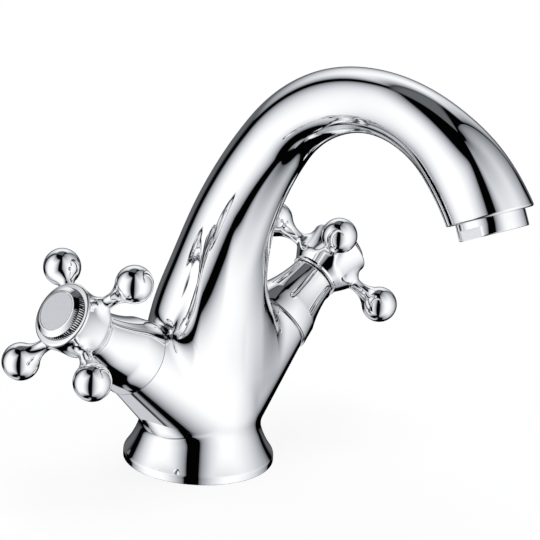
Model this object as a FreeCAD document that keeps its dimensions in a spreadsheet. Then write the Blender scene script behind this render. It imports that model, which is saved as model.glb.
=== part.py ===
import FreeCAD
import Part
import Sketcher
import math
import os
from types import SimpleNamespace

# Basin mixer with two cross handles: one casting with foot, bosses and spout, two quarter turn valves.
# Millimetres. The origin is the middle of the foot on the deck, +Z up, the spout points along -Y,
# the hot valve is on the -X side and the cold valve on the +X side.

SIZES = {
    # Foot and belly of the casting
    "base_radius": 26.2,
    "rim_height": 3.0,
    "rim_round": 1.2,
    "flare_radius": 16.0,
    "waist_radius": 21.6,
    "waist_height": 11.3,
    "belly_radius": 22.0,
    # Valve bosses: both axes cross a little in front of the foot's middle and lean outwards
    "axis_height": 21.4,
    "valve_forward": 1.0,
    "valve_tilt_angle": 55.5,
    "boss_root_radius": 21.0,
    "boss_reach": 39.8,
    "boss_radius": 12.9,
    # Spout: a slow lean, then the crown down to the mouth, with its outer radius at each station
    "column_height": 34.2,
    "column_radius": 21.3,
    "lean_bend_radius": 139.4,
    "lean_angle": 38.7,
    "crown_bend_radius": 56.5,
    "crown_angle": 145.5,
    "mouth_angle": 155.0,
    "shoulder_radius": 19.2,
    "neck_radius": 16.0,
    "riser_radius": 13.8,
    "bend_radius": 11.8,
    "climb_radius": 10.9,
    "crest_radius": 10.1,
    "fall_radius": 10.9,
    "flare_out_radius": 12.5,
    "mouth_radius": 13.4,
    # Waterways and fixing holes in the casting
    "spout_wall": 2.6,
    "chamber_radius": 8.0,
    "chamber_height": 39.5,
    "passage_radius": 4.0,
    "passage_lift": 1.0,
    "thread_radius": 10.48,
    "seat_depth": 20.0,
    "seat_hole_radius": 4.5,
    "inlet_thread_radius": 5.0,
    "inlet_thread_depth": 10.0,
    "inlet_radius": 4.2,
    "inlet_offset": 9.5,
    "stud_radius": 4.0,
    "stud_offset": 13.0,
    "stud_depth": 12.0,
    "recess_radius": 19.4,
    "recess_height": 5.0,
    "seal_inner_radius": 21.3,
    "seal_outer_radius": 24.2,
    "seal_height": 2.2,
    # Headwork
    "headwork_thread_length": 9.5,
    "flange_radius": 11.6,
    "flange_height": 1.6,
    "hex_corner_radius": 10.8,
    "hex_flat_radius": 9.6,
    "hex_height": 4.0,
    "headwork_neck_radius": 6.9,
    "headwork_neck_gap": 1.0,
    "cage_radius": 8.9,
    "cage_bore_radius": 7.3,
    "window_width": 6.0,
    "boss_ring_section": 0.55,
    # Discs, seals and spindle
    "seat_seal_height": 2.5,
    "seat_seal_overlap": 0.8,
    "disc_thickness": 3.0,
    "disc_port_radius": 2.2,
    "disc_port_offset": 4.0,
    "drive_slot_width": 3.2,
    "drive_tang_height": 1.4,
    "spindle_foot_height": 3.0,
    "washer_height": 0.8,
    "spindle_radius": 4.0,
    "spindle_ring_section": 0.75,
    "spindle_ring_spacing": 6.0,
    "spline_length": 6.5,
    "spline_depth": 0.5,
    "spline_count": 20,
    "circlip_radius": 5.4,
    "circlip_depth": 0.6,
    "circlip_height": 0.8,
    "circlip_mouth": 4.0,
    # Shroud
    "shroud_height": 22.2,
    "shroud_base_radius": 13.2,
    "shroud_band_radius": 12.2,
    "shroud_band_height": 6.6,
    "shroud_top_radius": 9.0,
    "shroud_top_edge": 0.5,
    "shroud_bell_radius": 34.0,
    "shroud_wall": 1.1,
    "shroud_collar_height": 6.0,
    # Cross handle
    "handle_gap": 0.3,
    "handle_phase_angle": 51.0,
    "hub_back_length": 7.7,
    "hub_front_length": 8.0,
    "hub_back_radius": 9.4,
    "hub_lip_height": 1.0,
    "hub_shoulder_radius": 10.7,
    "hub_shoulder_height": 2.9,
    "hub_rim_radius": 11.15,
    "hub_rim_height": 0.9,
    "hub_flare_radius": 34.0,
    "hub_recess_radius": 6.4,
    "hub_recess_depth": 1.3,
    "hub_web_height": 2.3,
    "hub_socket_radius": 6.6,
    "arm_count": 4,
    "arm_inset": 1.0,
    "arm_neck_radius": 2.2,
    "arm_root_bend": 6.0,
    "arm_root_angle": 60.0,
    "ball_radius": 6.3,
    "ball_circle_radius": 24.2,
    "ball_join_angle": 45.0,
    "bush_radius": 6.0,
    # Handle screw and button
    "screw_radius": 2.0,
    "screw_length": 12.0,
    "screw_head_radius": 3.6,
    "screw_head_height": 2.4,
    "screw_socket_radius": 1.5,
    "screw_socket_depth": 1.4,
    "button_radius": 9.2,
    "button_wall_height": 1.7,
    "button_bevel_height": 1.0,
    "button_shank_height": 2.0,
    "knurl_depth": 0.35,
    "knurl_count": 72,
    "index_radius": 6.65,
    "index_lip": 0.5,
    "index_thickness": 1.2,
    # Aerator
    "socket_radius": 10.0,
    "socket_depth": 8.5,
    "aerator_washer_height": 1.5,
    "aerator_washer_width": 2.0,
    "aerator_skirt_radius": 10.7,
    "aerator_skirt_height": 5.2,
    "aerator_flat_radius": 9.8,
    "aerator_flat_height": 3.1,
    "aerator_bore_radius": 8.6,
    "aerator_seat_radius": 9.2,
    "aerator_seat_height": 1.5,
    "aerator_lip_width": 0.9,
    "aerator_lip_height": 0.5,
    "cage_wall": 1.1,
    "air_hole_radius": 1.0,
    "air_hole_count": 6,
    "flow_disc_height": 2.0,
    "flow_ring_share": 0.62,
    "flow_hole_radius": 0.7,
    "flow_hole_count": 12,
    "screen_height": 1.2,
    "screen_hole_radius": 0.75,
    "screen_pitch": 2.2,
    "screen_ring_count": 3,
    # Fits
    "thread_clearance": 0.05,
    "running_clearance": 0.05,
    "seat_clearance": 0.1,
    "overrun": 1.0,
}

# How far along its arc each spout station lies
LEAN_SHARES = {"shoulder_radius": 0.21, "neck_radius": 0.40, "riser_radius": 0.65, "bend_radius": 1.0}
CROWN_SHARES = {
    "climb_radius": 0.24,
    "crest_radius": 0.48,
    "fall_radius": 0.70,
    "flare_out_radius": 0.86,
}
# Stations that the waterway follows
BORED_STATIONS = ("riser_radius", "bend_radius", "climb_radius", "crest_radius", "fall_radius")
FULL_TURN = 360
HALF_TURN = 180
QUARTER_TURN = 90
HEX_SIDES = 6
VEE_SIDES = 3
PORT_COUNT = 2
FLAT_COUNT = 2
SIDES = {"hot": -1, "cold": 1}


class Size:
    """A value of the sheet, or a formula of such values, with the text that binds a property to it."""

    def __init__(self, value, text):
        self.value = value
        self.text = text

    def __add__(self, other):
        other = as_size(other)
        return Size(self.value + other.value, f"({self.text} + {other.text})")

    def __radd__(self, other):
        return as_size(other) + self

    def __sub__(self, other):
        other = as_size(other)
        return Size(self.value - other.value, f"({self.text} - {other.text})")

    def __rsub__(self, other):
        return as_size(other) - self

    def __mul__(self, other):
        other = as_size(other)
        return Size(self.value * other.value, f"({self.text} * {other.text})")

    def __rmul__(self, other):
        return as_size(other) * self

    def __truediv__(self, other):
        other = as_size(other)
        return Size(self.value / other.value, f"({self.text} / {other.text})")

    def __neg__(self):
        return Size(-self.value, f"(0 - {self.text})")


def as_size(item):
    return item if isinstance(item, Size) else Size(item, repr(item))


def sine(angle):
    return Size(math.sin(math.radians(angle.value)), f"sin({angle.text})")


def cosine(angle):
    return Size(math.cos(math.radians(angle.value)), f"cos({angle.text})")


def root(number):
    return Size(math.sqrt(number.value), f"sqrt({number.text})")


doc = FreeCAD.newDocument("basin_mixer")
sheet = doc.addObject("Spreadsheet::Sheet", "sizes")
for row, (alias, number) in enumerate(SIZES.items(), start=1):
    sheet.set(f"A{row}", alias)
    sheet.set(f"B{row}", str(number))
    sheet.setAlias(f"B{row}", alias)
doc.recompute()
size = SimpleNamespace(**{alias: Size(sheet.get(alias), f"sizes.{alias}") for alias in SIZES})


# Sketches and features

def bind(item, prop, amount):
    item.setExpression(prop, as_size(amount).text)


def new_body(label):
    body = doc.addObject("PartDesign::Body", label)
    body.Label = label
    return body


def origin_of(body, role):
    return next(feature for feature in body.Origin.OriginFeatures if feature.Role == role)


def attach(item, body, role, base=(0, 0, 0), axis=(0, 0, 1), turn=0):
    """Seat a sketch or primitive on an origin plane, shifted by base and turned about axis."""
    item.AttachmentSupport = (origin_of(body, role), "")
    item.MapMode = "FlatFace"
    shift = [as_size(part) for part in base]
    turn = as_size(turn)
    item.AttachmentOffset = FreeCAD.Placement(
        FreeCAD.Vector(*[part.value for part in shift]),
        FreeCAD.Rotation(FreeCAD.Vector(*axis), turn.value),
    )
    for name, part in zip("xyz", shift):
        if part.value:
            bind(item, f"AttachmentOffset.Base.{name}", part)
    if turn.value:
        bind(item, "AttachmentOffset.Rotation.Angle", turn)


def new_sketch(body, role, name, **seat):
    sketch = body.newObject("Sketcher::SketchObject", name)
    attach(sketch, body, role, **seat)
    return sketch


def measure(sketch, kind, places, amount):
    index = sketch.addConstraint(Sketcher.Constraint(kind, *places, amount.value))
    bind(sketch, f"Constraints[{index}]", amount)


def pin_point(sketch, geometry, end, across, up):
    """Hold one end of a segment at its distances from the sketch's axes."""
    for kind, line, amount in (("DistanceX", -2, across), ("DistanceY", -1, up)):
        if as_size(amount).value:
            measure(sketch, kind, (-1, 1, geometry, end), as_size(amount))
        else:
            sketch.addConstraint(Sketcher.Constraint("PointOnObject", geometry, end, line))


def arc_between(start, finish, radius):
    """Arc from start to finish: a positive radius has its centre on the left of the way."""
    chord = finish - start
    height = math.sqrt(max(radius * radius - chord.Length * chord.Length / 4, 0))
    left = FreeCAD.Vector(-chord.y, chord.x, 0).normalize()
    centre = start + chord / 2 + left * math.copysign(height, radius)
    first, last = (start, finish) if radius > 0 else (finish, start)
    angles = [math.atan2((point - centre).y, (point - centre).x) for point in (first, last)]
    return Part.ArcOfCircle(Part.Circle(centre, FreeCAD.Vector(0, 0, 1), abs(radius)), *angles)


def outline(body, role, name, corners, **seat):
    """Closed outline through (across, up) corners. A third number bends the next side to that radius."""
    sketch = new_sketch(body, role, name, **seat)
    points = [FreeCAD.Vector(as_size(c[0]).value, as_size(c[1]).value, 0) for c in corners]
    ends = []
    for number, corner in enumerate(corners):
        start = points[number]
        finish = points[(number + 1) % len(points)]
        radius = corner[2] if len(corner) > 2 else None
        curve = arc_between(start, finish, radius.value) if radius else Part.LineSegment(start, finish)
        sketch.addGeometry(curve)
        ends.append((2, 1) if radius and radius.value < 0 else (1, 2))
    for number, (first, last) in enumerate(ends):
        following = (number + 1) % len(ends)
        sketch.addConstraint(Sketcher.Constraint("Coincident", number, last, following, ends[following][0]))
    for number, corner in enumerate(corners):
        pin_point(sketch, number, ends[number][0], corner[0], corner[1])
        if len(corner) > 2:
            measure(sketch, "Radius", (number,), corner[2] if corner[2].value > 0 else -corner[2])
    return sketch


def ring_outline(inner, outer, low, high):
    return [(inner, low), (outer, low), (outer, high), (inner, high)]


def circles(body, role, name, radius, places=((0, 0),), **seat):
    sketch = new_sketch(body, role, name, **seat)
    for number, (across, up) in enumerate(places):
        middle = FreeCAD.Vector(as_size(across).value, as_size(up).value, 0)
        sketch.addGeometry(Part.Circle(middle, FreeCAD.Vector(0, 0, 1), radius.value))
        pin_point(sketch, number, 3, across, up)
        measure(sketch, "Radius", (number,), radius)
    return sketch


def spun(body, name, sketch, axis="V_Axis", cut=False):
    feature = body.newObject("PartDesign::Groove" if cut else "PartDesign::Revolution", name)
    feature.Profile = sketch
    feature.ReferenceAxis = (sketch, [axis])
    feature.Angle = FULL_TURN
    return feature


def around(body, name, feature, count, axis="Z_Axis"):
    pattern = body.newObject("PartDesign::PolarPattern", name)
    pattern.Originals = [feature]
    pattern.Axis = (origin_of(body, axis), [""])
    pattern.Angle = FULL_TURN
    pattern.Occurrences = int(as_size(count).value)
    bind(pattern, "Occurrences", count)
    body.Tip = pattern
    return pattern


def drill(body, name, radius, length, **seat):
    """Round hole of the given length, from its seat along the seat's own Z."""
    hole = body.newObject("PartDesign::SubtractiveCylinder", name)
    attach(hole, body, "XY_Plane", **seat)
    bind(hole, "Radius", radius)
    bind(hole, "Height", length)
    return hole


def box(body, kind, name, length, width, height, base):
    block = body.newObject(f"PartDesign::{kind}Box", name)
    attach(block, body, "XY_Plane", base=base)
    bind(block, "Length", length)
    bind(block, "Width", width)
    bind(block, "Height", height)
    return block


def add_box(body, name, length, width, height, base):
    return box(body, "Additive", name, length, width, height, base)


def cut_box(body, name, length, width, height, base):
    return box(body, "Subtractive", name, length, width, height, base)


def prism(body, name, sides, radius, height, **seat):
    """Prism cut with its first edge on the seat's own X."""
    cutter = body.newObject("PartDesign::SubtractivePrism", name)
    attach(cutter, body, "XY_Plane", **seat)
    cutter.Polygon = sides
    bind(cutter, "Circumradius", radius)
    bind(cutter, "Height", height)
    return cutter


def vee_groove(body, name, radius, depth, height, low):
    """Three sided cut into a round wall, its edge towards the axis."""
    reach = 2 * depth
    return prism(body, name, VEE_SIDES, reach, height, base=(radius - depth + reach, 0, low), turn=HALF_TURN)


def turned(label, corners):
    """Body of revolution about its own Z from (radius, height) corners."""
    body = new_body(label)
    spun(body, f"{label}_turning", outline(body, "XZ_Plane", f"{label}_profile", corners))
    return body


def at_valve(body, side):
    """Lay a body made along its own Z onto the valve axis of one side."""
    body.Placement = FreeCAD.Placement(
        FreeCAD.Vector(0, -size.valve_forward.value, size.axis_height.value),
        FreeCAD.Rotation(FreeCAD.Vector(0, SIDES[side], 0), size.valve_tilt_angle.value),
    )
    bind(body, "Placement.Base.y", -size.valve_forward)
    bind(body, "Placement.Base.z", size.axis_height)
    bind(body, "Placement.Rotation.Angle", size.valve_tilt_angle)
    return body


def at_mouth(body):
    """Lay a body made along its own Z onto the mouth's axis, from the floor of the aerator socket."""
    seat = mouth_seat(size.socket_depth)
    _, forward, up = seat["base"]
    body.Placement = FreeCAD.Placement(
        FreeCAD.Vector(0, forward.value, up.value),
        FreeCAD.Rotation(FreeCAD.Vector(*seat["axis"]), seat["turn"].value),
    )
    bind(body, "Placement.Base.y", forward)
    bind(body, "Placement.Base.z", up)
    bind(body, "Placement.Rotation.Angle", seat["turn"])
    return body


# Places along a valve axis, measured from the point where the two axes cross

seat_face = size.boss_reach - size.seat_depth
seal_top = seat_face + size.seat_seal_height
fixed_disc_top = seal_top + size.disc_thickness
moving_disc_low = fixed_disc_top + size.running_clearance
moving_disc_top = moving_disc_low + size.disc_thickness
spindle_shoulder = moving_disc_top + size.spindle_foot_height
washer_top = spindle_shoulder + size.washer_height
headwork_shoulder = washer_top + size.running_clearance
thread_low = size.boss_reach - size.headwork_thread_length
hex_low = size.boss_reach + size.flange_height
hex_top = hex_low + size.hex_height
shroud_top = size.boss_reach + size.shroud_height
headwork_top = shroud_top - size.headwork_neck_gap
hub_back = shroud_top + size.handle_gap
ball_plane = hub_back + size.hub_back_length
hub_front = ball_plane + size.hub_front_length
bush_low = hub_back + size.hub_recess_depth
web_low = ball_plane - size.running_clearance
web_top = web_low + size.hub_web_height
button_low = hub_front - size.button_shank_height
button_top = hub_front + size.button_wall_height + size.button_bevel_height
spindle_top = web_low - size.seat_clearance
screw_low = web_top - size.screw_length
ring_places = [washer_top + size.spindle_ring_spacing * number for number in (1, 2)]
boss_bore_radius = size.thread_radius + size.thread_clearance
spindle_bore_radius = size.spindle_radius + size.running_clearance
disc_radius = size.cage_bore_radius - size.seat_clearance


# Places along the spout's middle line

def lean_station(angle):
    forward = -size.lean_bend_radius * (1 - cosine(angle))
    up = size.column_height + size.lean_bend_radius * sine(angle)
    return forward, up, angle


def crown_station(angle):
    forward, up, start = lean_station(size.lean_angle)
    forward = forward - size.crown_bend_radius * (cosine(start) - cosine(angle))
    up = up + size.crown_bend_radius * (sine(angle) - sine(start))
    return forward, up, angle


def spout_stations():
    """Each named radius of the spout with its place and the angle of its section."""
    for alias, share in LEAN_SHARES.items():
        yield alias, lean_station(size.lean_angle * share)
    for alias, share in CROWN_SHARES.items():
        yield alias, crown_station(size.lean_angle + (size.crown_angle - size.lean_angle) * share)
    forward, up, _ = crown_station(size.crown_angle)
    yield "mouth_radius", (forward, up, size.mouth_angle)


def spout_section(body, name, radius, station):
    forward, up, angle = station
    return circles(body, "XY_Plane", name, radius, base=(0, forward, up), axis=(1, 0, 0), turn=angle)


def lofted(body, name, sections, cut=False):
    feature = body.newObject("PartDesign::SubtractiveLoft" if cut else "PartDesign::AdditiveLoft", name)
    feature.Profile = sections[0]
    feature.Sections = sections[1:]
    return feature


def boss_root():
    """Where a cone from the boss end touches a ball round the point where the axes cross."""
    rim = root(size.boss_reach * size.boss_reach + size.boss_radius * size.boss_radius)
    ball = size.boss_root_radius
    touch = root(rim * rim - ball * ball)
    scale = ball / (rim * rim)
    start = scale * (ball * size.boss_reach - touch * size.boss_radius)
    start_radius = scale * (ball * size.boss_radius + touch * size.boss_reach)
    return start, start_radius


def boss_cone(body, side):
    start, start_radius = boss_root()
    cone = body.newObject("PartDesign::AdditiveCone", f"{side}_boss")
    attach(cone, body, "XY_Plane", **along_valve(side, start))
    bind(cone, "Radius1", start_radius)
    bind(cone, "Radius2", size.boss_radius)
    bind(cone, "Height", size.boss_reach - start)


def along_valve(side, distance):
    lean = size.valve_tilt_angle
    place = (SIDES[side] * distance * sine(lean), -size.valve_forward,
             size.axis_height + distance * cosine(lean))
    return {"base": place, "axis": (0, SIDES[side], 0), "turn": lean}


def mouth_seat(inwards):
    """Place on the mouth's own axis, a distance inside the mouth, looking out."""
    forward, up, _ = crown_station(size.crown_angle)
    lean = size.mouth_angle
    place = (0, forward + inwards * sine(lean), up - inwards * cosine(lean))
    return {"base": place, "axis": (1, 0, 0), "turn": lean}


def spout_waterway(body):
    """Smooth bore from the mixing chamber to the aerator socket, one wall inside the spout."""
    narrow = size.socket_radius - size.aerator_washer_width
    sections = [spout_section(body, "chamber_floor", size.chamber_radius, (0, size.chamber_height, 0))]
    for alias, station in spout_stations():
        if alias in BORED_STATIONS:
            bore = getattr(size, alias) - size.spout_wall
            sections.append(spout_section(body, f"{alias}_bore", bore, station))
    sections.append(circles(body, "XY_Plane", "socket_bore", narrow, **mouth_seat(size.socket_depth / 2)))
    lofted(body, "spout_waterway", sections, cut=True)


def valve_waterway(body, side):
    """Valve bore in the boss, the hole in its seat and the inlet below it with its thread in the foot."""
    lean = size.valve_tilt_angle
    inlet_meets = size.inlet_offset / sine(lean)
    inlet = (SIDES[side] * size.inlet_offset, -size.valve_forward, 0)
    drill(body, f"{side}_valve_bore", boss_bore_radius, size.seat_depth + size.overrun,
          **along_valve(side, seat_face))
    drill(body, f"{side}_seat_hole", size.seat_hole_radius, seat_face - inlet_meets + size.overrun,
          **along_valve(side, inlet_meets))
    drill(body, f"{side}_inlet", size.inlet_radius, size.axis_height + inlet_meets * cosine(lean), base=inlet)
    drill(body, f"{side}_inlet_thread", size.inlet_thread_radius,
          size.recess_height + size.inlet_thread_depth, base=inlet)


def body_casting():
    body = new_body("body_casting")
    rim_top = size.rim_height
    foot = [
        (0, 0),
        (size.base_radius, 0),
        (size.base_radius, rim_top - size.rim_round, size.rim_round),
        (size.base_radius - size.rim_round, rim_top, -size.flare_radius),
        (size.waist_radius, size.waist_height),
        (0, size.waist_height),
    ]
    spun(body, "foot", outline(body, "XZ_Plane", "foot_profile", foot))
    sections = [
        spout_section(body, "waist_section", size.waist_radius, (0, size.waist_height, 0)),
        spout_section(body, "belly_section", size.belly_radius, (0, size.axis_height, 0)),
        spout_section(body, "column_section", size.column_radius, (0, size.column_height, 0)),
    ]
    for alias, station in spout_stations():
        sections.append(spout_section(body, f"{alias}_section", getattr(size, alias), station))
    lofted(body, "column_and_spout", sections)
    for side in SIDES:
        boss_cone(body, side)
    drill(body, "aerator_socket", size.socket_radius, size.socket_depth + size.overrun,
          **mouth_seat(size.socket_depth))
    spout_waterway(body)
    for side in SIDES:
        valve_waterway(body, side)
    reach = (seat_face + size.passage_radius) * sine(size.valve_tilt_angle)
    passage_height = size.chamber_height + size.passage_lift + size.passage_radius
    drill(body, "mixing_passage", size.passage_radius, 2 * reach,
          base=(-reach, -size.valve_forward, passage_height), axis=(0, 1, 0), turn=QUARTER_TURN)
    drill(body, "foot_recess", size.recess_radius, size.recess_height + size.overrun,
          base=(0, 0, -size.overrun))
    drill(body, "stud_hole", size.stud_radius, size.recess_height + size.stud_depth,
          base=(0, size.stud_offset, 0))
    groove = ring_outline(size.seal_inner_radius, size.seal_outer_radius, 0, size.seal_height)
    spun(body, "seal_groove", outline(body, "XZ_Plane", "seal_groove_profile", groove), cut=True)
    return body


def base_seal():
    gap = size.seat_clearance
    return turned("base_seal", ring_outline(
        size.seal_inner_radius + gap, size.seal_outer_radius - gap, 0, size.seal_height - gap))


# Valve: fixed pieces

def headwork(side):
    """Threaded brass headwork with its disc cage, flange, hexagon and spindle neck."""
    ring_height = 2 * (size.boss_ring_section + size.seat_clearance)
    ring_floor = size.thread_radius - ring_height
    cage_low = seal_top - size.seat_seal_overlap
    body = turned(f"{side}_headwork", [
        (size.cage_bore_radius, cage_low),
        (size.cage_radius, cage_low),
        (size.cage_radius, thread_low),
        (size.thread_radius, thread_low),
        (size.thread_radius, size.boss_reach - ring_height),
        (ring_floor, size.boss_reach - ring_height),
        (ring_floor, size.boss_reach),
        (size.flange_radius, size.boss_reach),
        (size.flange_radius, hex_low),
        (size.hex_corner_radius, hex_low),
        (size.hex_corner_radius, hex_top),
        (size.headwork_neck_radius, hex_top),
        (size.headwork_neck_radius, headwork_top),
        (spindle_bore_radius, headwork_top),
        (spindle_bore_radius, headwork_shoulder),
        (size.cage_bore_radius, headwork_shoulder),
    ])
    flat = cut_box(
        body, "hex_flat", size.hex_corner_radius - size.hex_flat_radius + size.overrun,
        2 * size.hex_corner_radius, size.hex_height,
        base=(size.hex_flat_radius, -size.hex_corner_radius, hex_low),
    )
    around(body, "hex_flats", flat, HEX_SIDES)
    half = size.cage_radius + size.overrun
    cut_box(body, "cage_windows", 2 * half, size.window_width, thread_low - moving_disc_low,
            base=(-half, -size.window_width / 2, moving_disc_low))
    return at_valve(body, side)


def round_ring(label, side, section, outer, height):
    """Ring of round section with its outside at the given radius."""
    body = new_body(f"{side}_{label}")
    profile = circles(body, "XZ_Plane", f"{label}_section", section, places=[(outer - section, height)])
    spun(body, f"{label}_turning", profile)
    return at_valve(body, side)


def boss_o_ring(side):
    middle = size.boss_reach - size.boss_ring_section - size.seat_clearance
    return round_ring("boss_o_ring", side, size.boss_ring_section, size.thread_radius, middle)


def seat_seal(side):
    corners = ring_outline(size.seat_hole_radius, disc_radius, seat_face, seal_top)
    return at_valve(turned(f"{side}_seat_seal", corners), side)


def fixed_disc(side):
    """Lower ceramic disc: its ports lie across those of the moving disc while the valve is shut."""
    body = turned(f"{side}_fixed_disc", [
        (0, seal_top),
        (disc_radius, seal_top),
        (disc_radius, fixed_disc_top),
        (0, fixed_disc_top),
    ])
    port = drill(body, "port", size.disc_port_radius, size.disc_thickness + 2 * size.overrun,
                 base=(0, size.disc_port_offset, seal_top - size.overrun))
    around(body, "ports", port, PORT_COUNT)
    return at_valve(body, side)


def shroud(side):
    """Tapered band that stands a little proud of the boss, and a bell that draws in to the handle."""
    band_top = size.boss_reach + size.shroud_band_height
    collar = size.headwork_neck_radius + size.seat_clearance
    return at_valve(turned(f"{side}_shroud", [
        (size.shroud_base_radius - size.shroud_wall, size.boss_reach),
        (size.shroud_base_radius, size.boss_reach),
        (size.shroud_band_radius, band_top, -size.shroud_bell_radius),
        (size.shroud_top_radius, shroud_top - size.shroud_top_edge),
        (size.shroud_top_radius - size.shroud_top_edge, shroud_top),
        (collar, shroud_top),
        (collar, shroud_top - size.shroud_collar_height),
        (size.shroud_band_radius - size.shroud_wall, band_top),
    ]), side)


# Valve: pieces that turn with the handle

def moving_disc(side):
    body = turned(f"{side}_moving_disc", [
        (0, moving_disc_low),
        (disc_radius, moving_disc_low),
        (disc_radius, moving_disc_top),
        (0, moving_disc_top),
    ])
    port = drill(body, "port", size.disc_port_radius, size.disc_thickness + 2 * size.overrun,
                 base=(size.disc_port_offset, 0, moving_disc_low - size.overrun))
    around(body, "ports", port, PORT_COUNT)
    depth = size.drive_tang_height + size.seat_clearance
    half = disc_radius + size.overrun
    cut_box(body, "drive_slot", size.drive_slot_width, 2 * half, depth + size.overrun,
            base=(-size.drive_slot_width / 2, -half, moving_disc_top - depth))
    return at_valve(body, side)


def spindle(side):
    """Spindle with drive tang, two ring grooves, circlip groove, splines and a tapped end."""
    ring_height = 2 * (size.spindle_ring_section + size.seat_clearance)
    ring_floor = size.spindle_radius - ring_height
    clip_floor = size.spindle_radius - size.circlip_depth
    clip_low = headwork_top
    clip_top = clip_low + size.circlip_height + 2 * size.running_clearance
    hole = size.screw_radius + size.thread_clearance
    hole_low = screw_low - size.seat_clearance
    corners = [(0, moving_disc_top), (disc_radius, moving_disc_top), (disc_radius, spindle_shoulder)]
    corners.append((size.spindle_radius, spindle_shoulder))
    grooves = [(middle - ring_height / 2, middle + ring_height / 2, ring_floor) for middle in ring_places]
    grooves.append((clip_low, clip_top, clip_floor))
    for low, top, floor in grooves:
        corners += [(size.spindle_radius, low), (floor, low), (floor, top), (size.spindle_radius, top)]
    corners += [(size.spindle_radius, spindle_top), (hole, spindle_top), (hole, hole_low), (0, hole_low)]
    body = turned(f"{side}_spindle", corners)
    width = size.drive_slot_width - 2 * size.seat_clearance
    length = 2 * (disc_radius - size.drive_slot_width)
    add_box(body, "drive_tang", width, length, size.drive_tang_height,
            base=(-width / 2, -length / 2, moving_disc_top - size.drive_tang_height))
    tooth = vee_groove(body, "spline_gap", size.spindle_radius, size.spline_depth, size.spline_length,
                       spindle_top - size.spline_length)
    around(body, "splines", tooth, size.spline_count)
    return at_valve(body, side)


def spindle_o_ring(side, label, place):
    return round_ring(label, side, size.spindle_ring_section, size.spindle_radius, place)


def thrust_washer(side):
    corners = ring_outline(spindle_bore_radius, disc_radius, spindle_shoulder, washer_top)
    return at_valve(turned(f"{side}_thrust_washer", corners), side)


def circlip(side):
    inner = size.spindle_radius - size.circlip_depth + size.running_clearance
    low = headwork_top + size.running_clearance
    body = turned(f"{side}_circlip", ring_outline(inner, size.circlip_radius, low, low + size.circlip_height))
    cut_box(body, "mouth", size.circlip_radius + size.overrun, size.circlip_mouth, size.circlip_height,
            base=(0, -size.circlip_mouth / 2, low))
    return at_valve(body, side)


def spline_bush(side):
    corners = ring_outline(spindle_bore_radius, size.bush_radius, bush_low, spindle_top)
    return at_valve(turned(f"{side}_spline_bush", corners), side)


def cross_handle(side):
    """Hub with four necks that swell into balls, bored for the bush, the screw and the button."""
    bush_bore = size.bush_radius + size.thread_clearance
    screw_hole = size.screw_radius + size.seat_clearance
    body = turned(f"{side}_cross_handle", [
        (size.hub_recess_radius, hub_back),
        (size.hub_back_radius, hub_back),
        (size.hub_back_radius, hub_back + size.hub_lip_height),
        (size.hub_shoulder_radius, hub_back + size.hub_lip_height + size.hub_shoulder_height, -size.hub_flare_radius),
        (size.hub_rim_radius, hub_front - size.hub_rim_height, size.hub_rim_height),
        (size.hub_rim_radius - size.hub_rim_height, hub_front),
        (size.hub_socket_radius, hub_front),
        (size.hub_socket_radius, web_top),
        (screw_hole, web_top),
        (screw_hole, web_low),
        (bush_bore, web_low),
        (bush_bore, bush_low),
        (size.hub_recess_radius, bush_low),
    ])
    start = size.hub_socket_radius + size.arm_inset
    root_bend = size.arm_root_bend
    neck_low = start + root_bend * sine(size.arm_root_angle)
    start_radius = size.arm_neck_radius + root_bend * (1 - cosine(size.arm_root_angle))
    join = size.ball_circle_radius - size.ball_radius * cosine(size.ball_join_angle)
    join_radius = size.ball_radius * sine(size.ball_join_angle)
    neck_bend = (join_radius - size.arm_neck_radius) / (1 - cosine(size.ball_join_angle))
    neck_top = join - neck_bend * sine(size.ball_join_angle)
    arm = outline(body, "XZ_Plane", "arm_profile", [
        (start, 0),
        (size.ball_circle_radius + size.ball_radius, 0, size.ball_radius),
        (join, join_radius, -neck_bend),
        (neck_top, size.arm_neck_radius),
        (neck_low, size.arm_neck_radius, -root_bend),
        (start, start_radius),
    ], base=(0, ball_plane, 0), axis=(0, 1, 0), turn=size.handle_phase_angle * -SIDES[side])
    around(body, "arms", spun(body, "arm", arm, axis="H_Axis"), size.arm_count)
    return at_valve(body, side)


def handle_screw(side):
    head_top = web_top + size.screw_head_height
    body = turned(f"{side}_handle_screw", [
        (0, screw_low),
        (size.screw_radius, screw_low),
        (size.screw_radius, web_top),
        (size.screw_head_radius, web_top),
        (size.screw_head_radius, head_top),
        (0, head_top),
    ])
    prism(body, "socket", HEX_SIDES, size.screw_socket_radius, size.screw_socket_depth + size.overrun,
          base=(0, 0, head_top - size.screw_socket_depth))
    return at_valve(body, side)


def button_ring(side):
    """Screwed cap with a knurled wall, a bevel and a seat for the index disc."""
    shank = size.hub_socket_radius - size.thread_clearance
    wall_top = hub_front + size.button_wall_height
    seat = size.index_radius + size.thread_clearance
    body = turned(f"{side}_button_ring", [
        (0, button_low),
        (shank, button_low),
        (shank, hub_front),
        (size.button_radius, hub_front),
        (size.button_radius, wall_top),
        (size.index_radius + size.index_lip, button_top),
        (seat, button_top),
        (seat, button_top - size.index_thickness),
        (0, button_top - size.index_thickness),
    ])
    gap = vee_groove(body, "knurl_gap", size.button_radius, size.knurl_depth, size.button_wall_height,
                     hub_front)
    around(body, "knurl", gap, size.knurl_count)
    return at_valve(body, side)


def index_disc(side):
    low = button_top - size.index_thickness
    corners = [(0, low), (size.index_radius, low), (size.index_radius, button_top), (0, button_top)]
    return at_valve(turned(f"{side}_index_disc", corners), side)


# Aerator, measured outwards from the floor of its socket

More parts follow.
